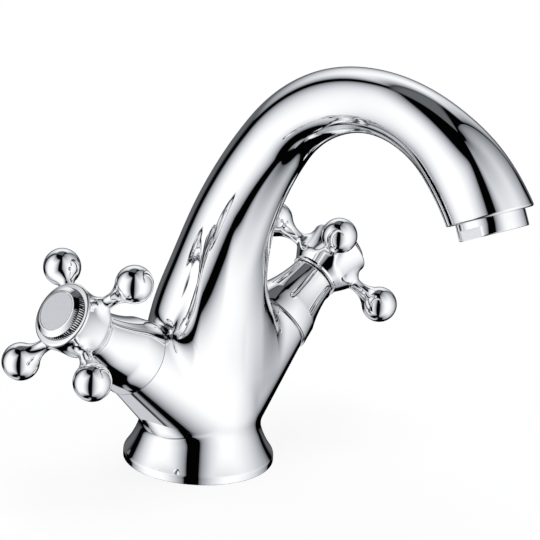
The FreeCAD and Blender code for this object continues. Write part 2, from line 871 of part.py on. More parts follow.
skirt_end = size.socket_depth + size.aerator_skirt_height
lip_low = skirt_end - size.aerator_lip_height
screen_low = lip_low - size.screen_height
aerator_low = size.aerator_washer_height
cage_top = aerator_low + size.aerator_seat_height
cage_outer = size.aerator_bore_radius - size.seat_clearance
cage_inner = cage_outer - size.cage_wall
flow_seat_radius = cage_inner + size.cage_wall / 2


def aerator_washer():
    inner = size.socket_radius - size.aerator_washer_width
    outer = size.socket_radius - size.thread_clearance
    return at_mouth(turned("aerator_washer", ring_outline(inner, outer, 0, aerator_low)))


def aerator_housing():
    """Chromed ring with its thread in the spout, a skirt with two spanner flats and a lip inside."""
    thread = size.socket_radius - size.thread_clearance
    lip = size.aerator_bore_radius - size.aerator_lip_width
    body = turned("aerator_housing", [
        (size.aerator_seat_radius, aerator_low),
        (thread, aerator_low),
        (thread, size.socket_depth),
        (size.aerator_skirt_radius, size.socket_depth),
        (size.aerator_skirt_radius, skirt_end),
        (lip, skirt_end),
        (lip, lip_low),
        (size.aerator_bore_radius, lip_low),
        (size.aerator_bore_radius, cage_top),
        (size.aerator_seat_radius, cage_top),
    ])
    flat = cut_box(
        body, "spanner_flat", size.aerator_skirt_radius - size.aerator_flat_radius + size.overrun,
        2 * size.aerator_skirt_radius, size.aerator_flat_height + size.overrun,
        base=(size.aerator_flat_radius, -size.aerator_skirt_radius, skirt_end - size.aerator_flat_height),
    )
    around(body, "spanner_flats", flat, FLAT_COUNT)
    return at_mouth(body)


def aerator_cage():
    """Plastic tube that hangs by its flange in the housing, with air holes round its wall."""
    flange = size.aerator_seat_radius - size.seat_clearance
    flow_low = aerator_low + size.flow_disc_height
    body = turned("aerator_cage", [
        (flow_seat_radius, aerator_low),
        (flange, aerator_low),
        (flange, cage_top),
        (cage_outer, cage_top),
        (cage_outer, screen_low),
        (cage_inner, screen_low),
        (cage_inner, flow_low),
        (flow_seat_radius, flow_low),
    ])
    hole = drill(body, "air_hole", size.air_hole_radius, cage_outer + size.overrun,
                 base=(0, 0, (flow_low + screen_low) / 2), axis=(0, 1, 0), turn=QUARTER_TURN)
    around(body, "air_holes", hole, size.air_hole_count)
    return at_mouth(body)


def holed_disc(label, radius, low, height, hole_radius, rings):
    """Disc with a hole in its middle and rings of holes: (ring radius, count)."""
    body = turned(label, [(0, low), (radius, low), (radius, low + height), (0, low + height)])
    length = height + 2 * size.overrun
    drill(body, "middle_hole", hole_radius, length, base=(0, 0, low - size.overrun))
    for number, (ring, count) in enumerate(rings, start=1):
        hole = drill(body, f"hole_{number}", hole_radius, length, base=(ring, 0, low - size.overrun))
        around(body, f"holes_{number}", hole, count)
    return at_mouth(body)


def aerator_flow_disc():
    rings = [(cage_inner * size.flow_ring_share, size.flow_hole_count)]
    radius = flow_seat_radius - size.thread_clearance
    return holed_disc("aerator_flow_disc", radius, aerator_low, size.flow_disc_height,
                      size.flow_hole_radius, rings)


def aerator_screen():
    last = int(size.screen_ring_count.value)
    rings = [(size.screen_pitch * ring, HEX_SIDES * ring) for ring in range(1, last + 1)]
    return holed_disc("aerator_screen", cage_outer, screen_low, size.screen_height,
                      size.screen_hole_radius, rings)


def build_valve(side):
    pieces = [headwork(side), boss_o_ring(side), seat_seal(side), fixed_disc(side), shroud(side)]
    pieces += [moving_disc(side), spindle(side), thrust_washer(side), circlip(side), spline_bush(side)]
    pieces += [spindle_o_ring(side, label, place)
               for label, place in zip(("lower_o_ring", "upper_o_ring"), ring_places)]
    pieces += [cross_handle(side), handle_screw(side), button_ring(side), index_disc(side)]
    return pieces


def build_all():
    pieces = [body_casting(), base_seal()]
    for side in SIDES:
        pieces += build_valve(side)
    pieces += [aerator_washer(), aerator_housing(), aerator_cage(), aerator_flow_disc(), aerator_screen()]
    return pieces


def check(pieces):
    """Stop if a feature failed or a piece isn't one sound solid."""
    failed = [item.Label for item in doc.Objects if {"Invalid", "Error"} & set(item.State)]
    if failed:
        raise RuntimeError(f"features failed: {failed}")
    for piece in pieces:
        shape = piece.Shape
        if shape.isNull() or not shape.isValid() or len(shape.Solids) != 1:
            raise RuntimeError(f"{piece.Label} is not one sound solid")


subparts = build_all()
doc.recompute()
check(subparts)
os.makedirs("parts", exist_ok=True)
for subpart in subparts:
    subpart.Shape.exportStep(f"parts/{subpart.Label}.step")
print(len(subparts), "pieces written")
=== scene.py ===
import math

import bmesh
import bpy
import numpy as np
from mathutils import Matrix, Vector


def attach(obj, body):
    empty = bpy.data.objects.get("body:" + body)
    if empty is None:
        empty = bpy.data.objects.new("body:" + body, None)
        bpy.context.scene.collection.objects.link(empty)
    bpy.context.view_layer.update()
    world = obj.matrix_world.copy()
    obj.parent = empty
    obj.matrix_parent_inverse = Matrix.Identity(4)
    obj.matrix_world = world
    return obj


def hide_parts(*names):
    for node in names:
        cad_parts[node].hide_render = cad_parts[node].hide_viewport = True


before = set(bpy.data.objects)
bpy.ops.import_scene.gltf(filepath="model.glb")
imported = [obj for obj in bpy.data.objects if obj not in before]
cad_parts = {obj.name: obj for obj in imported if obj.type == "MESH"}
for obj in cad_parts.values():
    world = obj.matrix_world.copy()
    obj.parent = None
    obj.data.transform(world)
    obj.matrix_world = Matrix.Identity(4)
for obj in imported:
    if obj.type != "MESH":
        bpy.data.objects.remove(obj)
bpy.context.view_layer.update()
mm = 0.001
sideSigns = {"hot": -1, "cold": 1}
# steps round a turned piece, weld of double points in mm, and the angles that smooth shading stops at
meshing = {"steps": 128, "weld": 0.002, "smoothAngle": 32, "sharpAngle": 28}
# how near a rim is looked for, in mm: to its plane, and to its middle or its radius
rimNear = {"settle": (3, 40), "hollow": (0.2, 30), "bevel": (0.02, 0.8)}

# the axes both valves turn on, as in the frame: they cross on the middle line and lean outwards
valve = {"height": 21.4, "forward": 1.0, "lean": 55.5, "bossEnd": 39.8, "ballPlane": 70.0}
crossing = np.array([0, -valve["forward"], valve["height"]])
print("frame loaded:", len(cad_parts), "nodes")


# modelling helpers

def clearSelection():
    if bpy.context.object and bpy.context.object.mode != "OBJECT":
        bpy.ops.object.mode_set(mode="OBJECT")
    bpy.ops.object.select_all(action="DESELECT")


def makeActive(piece):
    clearSelection()
    piece.select_set(True)
    bpy.context.view_layer.objects.active = piece


def editMode(piece):
    makeActive(piece)
    bpy.ops.object.mode_set(mode="EDIT")


def objectMode():
    bpy.ops.object.mode_set(mode="OBJECT")


def pick(piece, kind, test):
    # select verts, edges or faces of the piece in edit mode by a test on each
    bpy.ops.mesh.select_mode(type={"verts": "VERT", "edges": "EDGE", "faces": "FACE"}[kind])
    bpy.ops.mesh.select_all(action="DESELECT")
    shape = bmesh.from_edit_mesh(piece.data)
    for item in getattr(shape, kind):
        if test(item):
            item.select_set(True)
    shape.select_flush_mode()
    bmesh.update_edit_mesh(piece.data)


def middleOf(item):
    return sum((corner.co for corner in item.verts), Vector()) / len(item.verts)


def tidyMesh(piece):
    editMode(piece)
    bpy.ops.mesh.select_all(action="SELECT")
    bpy.ops.mesh.remove_doubles(threshold=meshing["weld"] * mm)
    bpy.ops.mesh.normals_make_consistent(inside=False)
    objectMode()


def applyModifier(piece, kind, **values):
    makeActive(piece)
    bpy.ops.object.modifier_add(type=kind)
    modifier = piece.modifiers[-1]
    for name, value in values.items():
        setattr(modifier, name, value)
    bpy.ops.object.modifier_apply(modifier=modifier.name)


def softEdges(piece, width, limit):
    applyModifier(piece, "BEVEL", width=width * mm, segments=3, limit_method="ANGLE",
                  angle_limit=math.radians(limit), harden_normals=False)


def smoothFaces(piece, limit=meshing["smoothAngle"]):
    makeActive(piece)
    bpy.ops.object.shade_smooth_by_angle(angle=math.radians(limit))


def arcCentre(start, end, bend):
    # a positive bend bulges to the right of the way from start to end
    (x0, z0), (x1, z1) = start, end
    dx, dz = x1 - x0, z1 - z0
    chord = math.hypot(dx, dz)
    rise = math.copysign(math.sqrt(bend ** 2 - chord ** 2 / 4), bend)
    return (x0 + x1) / 2 - dz / chord * rise, (z0 + z1) / 2 + dx / chord * rise


def arcPoints(start, end, bend, count):
    # points after start up to end on the arc
    cx, cz = arcCentre(start, end, bend)
    first = math.atan2(start[1] - cz, start[0] - cx)
    sweep = math.remainder(math.atan2(end[1] - cz, end[0] - cx) - first, 2 * math.pi)
    turns = [first + sweep * step / count for step in range(1, count + 1)]
    return [(cx + abs(bend) * math.cos(turn), cz + abs(bend) * math.sin(turn)) for turn in turns]


def turnedPiece(name, outline, steps=meshing["steps"]):
    # one corner is drawn out along the outline (radius, height in mm) and spun about Z
    clearSelection()
    radius, height = outline[0]
    bpy.ops.mesh.primitive_plane_add(size=mm, location=(radius * mm, 0, height * mm))
    piece = bpy.context.object
    piece.name = name
    bpy.ops.object.transform_apply(location=True)
    editMode(piece)
    bpy.ops.mesh.select_mode(type="VERT")
    bpy.ops.mesh.select_all(action="SELECT")
    bpy.ops.mesh.merge(type="CENTER")
    for (r0, z0), (r1, z1) in zip(outline, outline[1:]):
        step = ((r1 - r0) * mm, 0, (z1 - z0) * mm)
        bpy.ops.mesh.extrude_region_move(TRANSFORM_OT_translate={"value": step})
    bpy.ops.mesh.select_all(action="SELECT")
    bpy.ops.mesh.spin(steps=steps, angle=2 * math.pi, center=(0, 0, 0), axis=(0, 0, 1))
    objectMode()
    tidyMesh(piece)
    return piece


def layAt(piece, rotation, location):
    makeActive(piece)
    piece.rotation_euler = rotation
    piece.location = location
    bpy.ops.object.transform_apply(location=True, rotation=True, scale=True)


def layOnValve(piece, side):
    # from its own Z onto the valve axis of one side
    layAt(piece, (0, sideSigns[side] * math.radians(valve["lean"]), 0), Vector(crossing) * mm)


def copyOf(piece, name):
    makeActive(piece)
    bpy.ops.object.duplicate()
    twin = bpy.context.object
    twin.name = name
    return twin


def bothSides(first):
    # a piece made for the hot side, with its copy for the cold side
    return {"hot": first, "cold": copyOf(first, first.name.replace("hot", "cold"))}


def finishPiece(piece, body, slot, material, *nodes):
    piece.data.materials.clear()
    piece.data.materials.append(material)
    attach(piece, body)
    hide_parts(*nodes)


def paintFaces(piece, faces, material):
    # a second finish or a painted shade on some faces, given by their numbers
    piece.data.materials.append(material)
    for number in faces:
        piece.data.polygons[number].material_index = 1


# forms that a rough mesh is settled on: each gives the gap to the surface and its slope, in mm

def withSlope(gapAt, points, reach=0.01):
    slope = np.empty_like(points)
    for axis in range(3):
        shift = np.zeros(3)
        shift[axis] = reach
        slope[:, axis] = (gapAt(points + shift) - gapAt(points - shift)) / (2 * reach)
    return gapAt(points), slope


def blended(first, second, fillet):
    # union of two forms with a rounded crease, wide where they meet square and none where they run on
    (gapA, slopeA), (gapB, slopeB) = first, second
    unitA = slopeA / np.linalg.norm(slopeA, axis=1, keepdims=True)
    unitB = slopeB / np.linalg.norm(slopeB, axis=1, keepdims=True)
    width = np.maximum(fillet * (1 - (unitA * unitB).sum(1)), 1e-6)
    share = np.clip(1 - np.abs(gapA - gapB) / width, 0, 1)
    lower = (gapA < gapB)[:, None]
    half = share[:, None] / 2
    near = np.where(lower, slopeA, slopeB)
    far = np.where(lower, slopeB, slopeA)
    return np.minimum(gapA, gapB) - share ** 2 * width / 4, near * (1 - half) + far * half


def trimmed(first, second, fillet):
    # what two forms share, with a rounded edge
    gap, slope = blended(*[(-gap, -slope) for gap, slope in (first, second)], fillet)
    return -gap, -slope


def settle(piece, form, ends, steps=3):
    # slide each point down the slope onto the form, and keep open rims in their end planes
    mesh = piece.data
    points = np.empty(len(mesh.vertices) * 3)
    mesh.vertices.foreach_get("co", points)
    points = points.reshape(-1, 3) / mm
    shape = bmesh.new()
    shape.from_mesh(mesh)
    rim = np.array([corner.is_boundary for corner in shape.verts])
    shape.free()
    offLimit, awayLimit = rimNear["settle"]
    for _ in range(steps):
        gap, slope = form(points)
        points -= slope * (gap / (slope ** 2).sum(1))[:, None]
        for place, normal in ends:
            off = (points - place) @ normal
            away = np.linalg.norm(points - place, axis=1)
            near = rim & (np.abs(off) < offLimit) & (away < awayLimit)
            points[near] -= off[near, None] * normal
    mesh.vertices.foreach_set("co", (points * mm).ravel())
    mesh.update()


def relax(piece, repeat):
    editMode(piece)
    pick(piece, "verts", lambda corner: not corner.is_boundary)
    bpy.ops.mesh.vertices_smooth(factor=0.5, repeat=repeat)
    objectMode()


def settleWell(piece, form, ends, rounds, repeat):
    for _ in range(rounds):
        settle(piece, form, ends)
        relax(piece, repeat)
    settle(piece, form, ends, steps=5)


def throughPoints(places, values, startSlope, endSlope):
    # smooth curve through the values, for reading at any place
    places, values = np.array(places, float), np.array(values, float)
    slopes = np.gradient(values, places)
    slopes[0], slopes[-1] = startSlope, endSlope

    def at(place):
        index = np.clip(np.searchsorted(places, place) - 1, 0, len(places) - 2)
        gap = places[index + 1] - places[index]
        t = np.clip((place - places[index]) / gap, -0.2, 1.2)
        start = (2 * t ** 3 - 3 * t ** 2 + 1) * values[index]
        leaving = (t ** 3 - 2 * t ** 2 + t) * gap * slopes[index]
        end = (3 * t ** 2 - 2 * t ** 3) * values[index + 1]
        arriving = (t ** 3 - t ** 2) * gap * slopes[index + 1]
        return start + leaving + end + arriving

    return at


def readTable(place, table):
    # value at any place between those that a table lists
    return np.interp(place, list(table), list(table.values()))


# materials

def newMaterial(name):
    material = bpy.data.materials.new(name)
    material.use_nodes = True
    nodes = material.node_tree.nodes
    return material, nodes, material.node_tree.links, nodes["Principled BSDF"]


def noiseOn(nodes, links, scale, detail):
    where = nodes.new("ShaderNodeTexCoord")
    noise = nodes.new("ShaderNodeTexNoise")
    noise.inputs["Scale"].default_value = scale
    noise.inputs["Detail"].default_value = detail
    links.new(where.outputs["Object"], noise.inputs["Vector"])
    return noise


def spread(nodes, links, source, low, high, socket):
    scale = nodes.new("ShaderNodeMapRange")
    scale.inputs["To Min"].default_value = low
    scale.inputs["To Max"].default_value = high
    links.new(source, scale.inputs["Value"])
    links.new(scale.outputs["Result"], socket)


def bumpOn(nodes, links, source, depth, shader):
    bump = nodes.new("ShaderNodeBump")
    bump.inputs["Strength"].default_value = 0.3
    bump.inputs["Distance"].default_value = depth * mm
    links.new(source, bump.inputs["Height"])
    links.new(bump.outputs["Normal"], shader.inputs["Normal"])


def tint(nodes, links, source, colours, socket):
    ramp = nodes.new("ShaderNodeValToRGB")
    for stop, colour in zip(ramp.color_ramp.elements, colours):
        stop.color = (*colour, 1)
    links.new(source, ramp.inputs["Fac"])
    links.new(ramp.outputs["Color"], socket)


def brightChrome():
    look = {"dull": (0.90, 0.905, 0.915), "bright": (0.955, 0.957, 0.962), "clouds": (60, 4),
            "haze": (0.012, 0.045), "wipes": (900, 2)}
    material, nodes, links, shader = newMaterial("brightChrome")
    shader.inputs["Metallic"].default_value = 1.0
    clouds = noiseOn(nodes, links, *look["clouds"])
    tint(nodes, links, clouds.outputs["Fac"], (look["dull"], look["bright"]), shader.inputs["Base Color"])
    wipes = noiseOn(nodes, links, *look["wipes"])
    spread(nodes, links, wipes.outputs["Fac"], *look["haze"], shader.inputs["Roughness"])
    return material


# the other finishes and one painted shade: a grain of some scale and detail mixes two shades and
# roughnesses, with a bump in mm
looks = {
    "satinMetal": {"dark": (0.78, 0.79, 0.81), "light": (0.88, 0.89, 0.91), "rough": (0.34, 0.46),
                   "metallic": 0.9, "grain": (2500, 2), "bump": 0.02},
    # dark chrome painted as shade into the knurl grooves and onto the foot of each shroud
    "paintedShadeChrome": {"dark": (0.10, 0.10, 0.11), "light": (0.22, 0.22, 0.23), "rough": (0.1, 0.25),
                     "metallic": 1.0, "grain": (900, 3), "bump": 0.01},
    "turnedBrass": {"dark": (0.66, 0.49, 0.22), "light": (0.80, 0.64, 0.34), "rough": (0.22, 0.36),
                    "metallic": 1.0, "grain": (700, 3), "bump": 0.02},
    "blackRubber": {"dark": (0.012, 0.012, 0.013), "light": (0.035, 0.035, 0.036), "rough": (0.6, 0.8),
                    "metallic": 0.0, "grain": (500, 3), "bump": 0.05},
    "lappedCeramic": {"dark": (0.82, 0.82, 0.80), "light": (0.90, 0.90, 0.88), "rough": (0.1, 0.2),
                      "metallic": 0.0, "grain": (300, 3), "bump": 0.01},
    "naturalNylon": {"dark": (0.74, 0.73, 0.68), "light": (0.84, 0.83, 0.78), "rough": (0.4, 0.55),
                     "metallic": 0.0, "grain": (400, 3), "bump": 0.03},
    "stainlessSteel": {"dark": (0.50, 0.51, 0.53), "light": (0.66, 0.67, 0.69), "rough": (0.22, 0.38),
                       "metallic": 1.0, "grain": (800, 3), "bump": 0.02},
    "greyPlastic": {"dark": (0.50, 0.51, 0.52), "light": (0.62, 0.63, 0.64), "rough": (0.4, 0.55),
                    "metallic": 0.0, "grain": (500, 3), "bump": 0.03},
}


def grainedFinish(name):
    look = looks[name]
    material, nodes, links, shader = newMaterial(name)
    shader.inputs["Metallic"].default_value = look["metallic"]
    grain = noiseOn(nodes, links, *look["grain"])
    tint(nodes, links, grain.outputs["Fac"], (look["dark"], look["light"]), shader.inputs["Base Color"])
    spread(nodes, links, grain.outputs["Fac"], *look["rough"], shader.inputs["Roughness"])
    bumpOn(nodes, links, grain.outputs["Fac"], look["bump"], shader)
    return material


chrome = brightChrome()
finishes = {name: grainedFinish(name) for name in looks}
satin = finishes["satinMetal"]
# painted shade: dark chrome for the knurl grooves and the shroud seams
paintedShade = finishes["paintedShadeChrome"]
print("finishes mixed")


# casting: foot, belly, two bosses and the arched spout

casting = {
    "footRadius": 26.2, "rimHeight": 2.5, "rimRound": 0.4, "flareBend": 30.0,
    "waistRadius": 21.6, "waistHeight": 11.3, "bellyRadius": 22.0, "bossRadius": 12.6, "bossRoot": 21.0,
    "columnRadius": 21.3, "columnHeight": 34.2, "leanBend": 139.4, "leanTurn": 38.7,
    "crownBend": 56.5, "crownTurn": 145.5, "mouthTurn": 155.0, "mouthRadius": 13.4, "mouthSlope": 0.06,
    "leanRadii": {0.21: 19.2, 0.40: 16.0, 0.65: 13.8, 1.0: 11.8},
    "crownRadii": {0.24: 10.9, 0.48: 10.1, 0.70: 10.9, 0.86: 12.5, 1.0: 13.4},
    "lowFillet": 4.5, "highFillet": {15: 4.5, 40: 28.0, 65: 40.0}, "filletStart": 22.0, "filletRise": 10.0,
    "socketRadius": 10.0, "socketDepth": 8.5, "boreRadius": 10.5, "boreDepth": 20.0,
    "recessRadius": 19.4, "recessHeight": 5.0, "sealInner": 21.3, "sealOuter": 24.2, "sealHeight": 2.2,
    "inlet": (9.5, -1.0, 5.0, 10.0), "stud": (0.0, 13.0, 4.0, 12.0), "drillSides": 48, "drillOverlap": 1.0,
    "edge": 0.3, "mouthEdge": 0.9, "sides": 16, "levels": 3,
}


def spoutMiddle(turn):
    # y and z of the spout's middle line where it has turned this far from upright, in degrees
    lean, crown, first = casting["leanBend"], casting["crownBend"], math.radians(casting["leanTurn"])
    turn = math.radians(turn)
    onLean = min(turn, first)
    y = -lean * (1 - math.cos(onLean))
    z = casting["columnHeight"] + lean * math.sin(onLean)
    if turn > first:
        y -= crown * (math.cos(first) - math.cos(turn))
        z += crown * (math.sin(turn) - math.sin(first))
    return y, z


def spoutTurns():
    # each radius of the spout with how far the middle line has turned there
    yield 0.0, casting["columnRadius"]
    for share, radius in casting["leanRadii"].items():
        yield casting["leanTurn"] * share, radius
    for share, radius in casting["crownRadii"].items():
        yield casting["leanTurn"] + (casting["crownTurn"] - casting["leanTurn"]) * share, radius


def alongSpout(turn):
    # way along the middle line from the deck
    first = casting["leanTurn"]
    lean = math.radians(min(turn, first)) * casting["leanBend"]
    crown = math.radians(max(turn - first, 0)) * casting["crownBend"]
    return casting["columnHeight"] + lean + crown


footEdge = (casting["footRadius"], casting["rimHeight"])
waist = (casting["waistRadius"], casting["waistHeight"])
flareR, flareZ = arcCentre(footEdge, waist, -casting["flareBend"])
waistSlope = (casting["waistHeight"] - flareZ) / (flareR - casting["waistRadius"])
stations = [(casting["waistHeight"], casting["waistRadius"]), (valve["height"], casting["bellyRadius"])]
stations += [(alongSpout(turn), radius) for turn, radius in spoutTurns()]
spoutRadius = throughPoints(*zip(*stations), waistSlope, casting["mouthSlope"])


def footRadiusAt(height):
    # the flare runs down into the upright rim with a soft edge
    flare = flareR - np.sqrt(np.maximum(casting["flareBend"] ** 2 - (height - flareZ) ** 2, 0))
    rim = casting["footRadius"]
    share = np.clip(1 - np.abs(flare - rim) / casting["rimRound"], 0, 1)
    return np.minimum(flare, rim) - share ** 2 * casting["rimRound"] / 4


def spoutGap(points):
    # gap to the round column, which leans forward and then bends over the crown
    x, y, z = points.T
    lean, crown = casting["leanBend"], casting["crownBend"]
    first = math.radians(casting["leanTurn"])
    high = casting["columnHeight"]
    crownY, crownZ = -lean + (lean - crown) * math.cos(first), high + (lean - crown) * math.sin(first)
    leanTurn = np.arctan2(z - high, y + lean)
    crownTurn = np.arctan2(z - crownZ, y - crownY)
    upright, onLean = z <= high, (z > high) & (leanTurn <= first)
    way = np.select([upright, onLean], [z, high + lean * leanTurn],
                    high + lean * first + crown * (crownTurn - first))
    aside = np.select([upright, onLean], [y, np.hypot(y + lean, z - high) - lean],
                      np.hypot(y - crownY, z - crownZ) - crown)
    radius = np.where(z < casting["waistHeight"], footRadiusAt(z), spoutRadius(way))
    return np.hypot(x, aside) - radius


def valveAxis(side):
    lean = math.radians(valve["lean"])
    return np.array([sideSigns[side] * math.sin(lean), 0, math.cos(lean)])


def bossGap(points):
    # a ball where the valve axes cross and the cone from it to each boss end
    ball, end, endRadius = casting["bossRoot"], valve["bossEnd"], casting["bossRadius"]
    rim = math.hypot(end, endRadius)
    touch = math.sqrt(rim ** 2 - ball ** 2)
    start = ball * (ball * end - touch * endRadius) / rim ** 2
    startRadius = ball * (ball * endRadius + touch * end) / rim ** 2
    slant = math.atan2(startRadius - endRadius, end - start)
    away = points - crossing
    gaps = []
    for side in sideSigns:
        along = away @ valveAxis(side)
        across = np.sqrt(np.maximum((away ** 2).sum(1) - along ** 2, 1e-9))
        onCone = (along - start) * math.cos(slant) - (across - startRadius) * math.sin(slant) > 0
        cone = (across - startRadius) * math.cos(slant) + (along - start) * math.sin(slant)
        gaps.append(np.where(onCone, cone, np.linalg.norm(away, axis=1) - ball))
    return np.minimum(*gaps)


def creaseFillet(points):
    # tight under the bosses and at the sides and back of the column, wide over the bosses towards its front
    low = casting["lowFillet"]
    around = np.degrees(np.arctan2(-points[:, 1], np.abs(points[:, 0])))
    high = readTable(around, casting["highFillet"])
    share = np.clip((points[:, 2] - casting["filletStart"]) / casting["filletRise"], 0, 1)
    return low + (high - low) * share


def castingForm(points):
    return blended(withSlope(spoutGap, points), withSlope(bossGap, points), creaseFillet(points))


# rough cage of the casting: foot rings as height and radius, rows of the column, turns of the spout, and
# the heights that the rows bend to from the side of the column round to its front, along the creases
cage = {
    "footRings": [(0.8, 26.2), (1.5, 26.2), (2.1, 26.1), (2.9, 25.6), (4.2, 25.0), (7.4, 23.2)],
    "rows": {"low": 15.5, "front": 24.3, "high": 33.0, "above": 47.0},
    "rowRadius": 21.8,
    "turns": [13, 17.5, 23, 29, 34.5, 40, 48, 57, 66, 75, 84, 93, 102, 111, 120, 128, 136, 142],
    "bends": {
        "low": {0: 12.0, 22.5: 12.8, 45: 14.7, 67.5: 18.7, 90: 20.0},
        "front": {67.5: 24.2, 90: 24.5},
        "high": {0: 53.0, 22.5: 50.5, 45: 41.7, 67.5: 29.7, 90: 29.5},
        "above": {0: 56.5, 22.5: 54.8, 45: 48.5, 67.5: 41.0, 90: 40.0},
    },
    "nearLevel": 0.01, "nearTurn": 2, "bossAside": 8, "holeAside": 2, "bossCuts": 3,
    "clearOfFoot": 4, "clearOfMouth": -60,
}


def nextRing(last, centre, radius, turn):
    centre = Vector(centre) * mm
    bpy.ops.mesh.extrude_region_move(TRANSFORM_OT_translate={"value": centre - last["centre"]})
    scale = radius / last["radius"]
    bpy.ops.transform.resize(value=(scale, scale, scale), center_override=centre)
    if turn != last["turn"]:
        bend = -math.radians(turn - last["turn"])
        bpy.ops.transform.rotate(value=bend, orient_axis="X", center_override=centre)
    return {"centre": centre, "radius": radius, "turn": turn}


def bendRing(piece, level, heights):
    # lift the points of a level ring by their place round the column
    for turn, height in heights.items():
        def onRing(corner):
            around = math.degrees(math.atan2(abs(corner.co.y), abs(corner.co.x)))
            onLevel = abs(corner.co.z - level * mm) < cage["nearLevel"] * mm
            return onLevel and abs(around - turn) < cage["nearTurn"]

        pick(piece, "verts", onRing)
        bpy.ops.transform.translate(value=(0, 0, (height - level) * mm))


def castingCage():
    clearSelection()
    bpy.ops.mesh.primitive_circle_add(vertices=casting["sides"], radius=casting["footRadius"] * mm)
    piece = bpy.context.object
    piece.name = "castingBody"
    editMode(piece)
    bpy.ops.mesh.select_all(action="SELECT")
    ring = {"centre": Vector(), "radius": casting["footRadius"], "turn": 0}
    for height, radius in cage["footRings"]:
        ring = nextRing(ring, (0, 0, height), radius, 0)
    for height in cage["rows"].values():
        ring = nextRing(ring, (0, 0, height), cage["rowRadius"], 0)
    for turn in cage["turns"]:
        ring = nextRing(ring, (0, *spoutMiddle(turn)), float(spoutRadius(alongSpout(turn))), turn)
    nextRing(ring, (0, *spoutMiddle(casting["crownTurn"])), casting["mouthRadius"], casting["mouthTurn"])
    for name, heights in cage["bends"].items():
        bendRing(piece, cage["rows"][name], heights)
    return piece


def openBosses(piece):
    # cut the belly open at both sides and bridge each hole to the end of its boss
    pick(piece, "faces", lambda face: abs(middleOf(face).x) > cage["bossAside"] * mm and onBelly(face))
    bpy.ops.mesh.delete(type="FACE")
    for side, sign in sideSigns.items():
        end = Vector(crossing + valveAxis(side) * valve["bossEnd"]) * mm
        lean = (0, sign * math.radians(valve["lean"]), 0)
        bpy.ops.mesh.select_all(action="DESELECT")
        bpy.ops.mesh.primitive_circle_add(vertices=casting["sides"], radius=casting["bossRadius"] * mm,
                                          location=end, rotation=lean)
        pick(piece, "edges", lambda edge: openEdge(edge)
             and middleOf(edge).x * sign > cage["holeAside"] * mm)
        bpy.ops.mesh.bridge_edge_loops(number_cuts=cage["bossCuts"])
    objectMode()


def onBelly(face):
    # between the crease rows: under the high crease and over the low one at that side
    middle = middleOf(face)
    around = math.degrees(math.atan2(abs(middle.y), abs(middle.x)))
    low = readTable(around, cage["bends"]["low"])
    high = readTable(around, cage["bends"]["high"])
    return low < middle.z / mm < high


def openEdge(edge):
    # an open edge of the belly or a boss, and not of the foot or the mouth
    middle = middleOf(edge)
    inBelly = middle.z > cage["clearOfFoot"] * mm and middle.y > cage["clearOfMouth"] * mm
    return (edge.is_boundary or edge.is_wire) and inBelly


def turnedPlane(point, turn):
    turn = math.radians(turn)
    return np.array([0.0, *point]), np.array([0, -math.sin(turn), math.cos(turn)])


mouthPlane = turnedPlane(spoutMiddle(casting["crownTurn"]), casting["mouthTurn"])
bossPlanes = [(crossing + valveAxis(side) * valve["bossEnd"], valveAxis(side)) for side in sideSigns]
footPlane = (np.zeros(3), np.array([0, 0, 1.0]))


def hollowEnd(piece, plane, radius, walls):
    # from an open rim in its plane: alternate new radii and depths, then close the floor
    place, normal = plane
    centre = Vector(place) * mm
    normal = Vector(normal)
    offLimit, awayLimit = rimNear["hollow"]

    def onRim(edge):
        away = middleOf(edge) - centre
        inPlane = abs(away.dot(normal)) < offLimit * mm
        return edge.is_boundary and inPlane and away.length < awayLimit * mm

    pick(piece, "edges", onRim)
    for newRadius, depth in walls:
        bpy.ops.mesh.extrude_region_move()
        scale = newRadius / radius
        bpy.ops.transform.resize(value=(scale, scale, scale), center_override=centre)
        radius = newRadius
        if depth:
            bpy.ops.mesh.extrude_region_move(TRANSFORM_OT_translate={"value": -normal * depth * mm})
            centre = centre - normal * depth * mm
    bpy.ops.mesh.edge_face_add()


def softRim(piece, plane, radius, width, segments=3):
    # bevel the ring of edges that lies in a plane at one radius
    place, normal = plane
    centre, normal = Vector(place) * mm, Vector(normal)
    offLimit, radiusLimit = rimNear["bevel"]

    def onRim(edge):
        away = middleOf(edge) - centre
        inPlane = abs(away.dot(normal)) < offLimit * mm
        return inPlane and abs(away.length - radius * mm) < radiusLimit * mm

    pick(piece, "edges", onRim)
    bpy.ops.mesh.bevel(offset=width * mm, segments=segments)


def drillFoot(piece):
    # holes for the two tails and the stud, cut up from the floor of the recess
    x, y, inletRadius, inletDepth = casting["inlet"]
    inlets = [(side * x, y, inletRadius, inletDepth) for side in (-1, 1)]
    overlap = casting["drillOverlap"]
    cutters = []
    for holeX, holeY, radius, depth in (*inlets, casting["stud"]):
        clearSelection()
        middle = casting["recessHeight"] + (depth - overlap) / 2
        bpy.ops.mesh.primitive_cylinder_add(vertices=casting["drillSides"], radius=radius * mm,
                                            depth=(depth + overlap) * mm,
                                            location=(holeX * mm, holeY * mm, middle * mm))
        cutters.append(bpy.context.object)
    for cutter in cutters:
        applyModifier(piece, "BOOLEAN", operation="DIFFERENCE", solver="EXACT", object=cutter)
        makeActive(cutter)
        bpy.ops.object.delete()


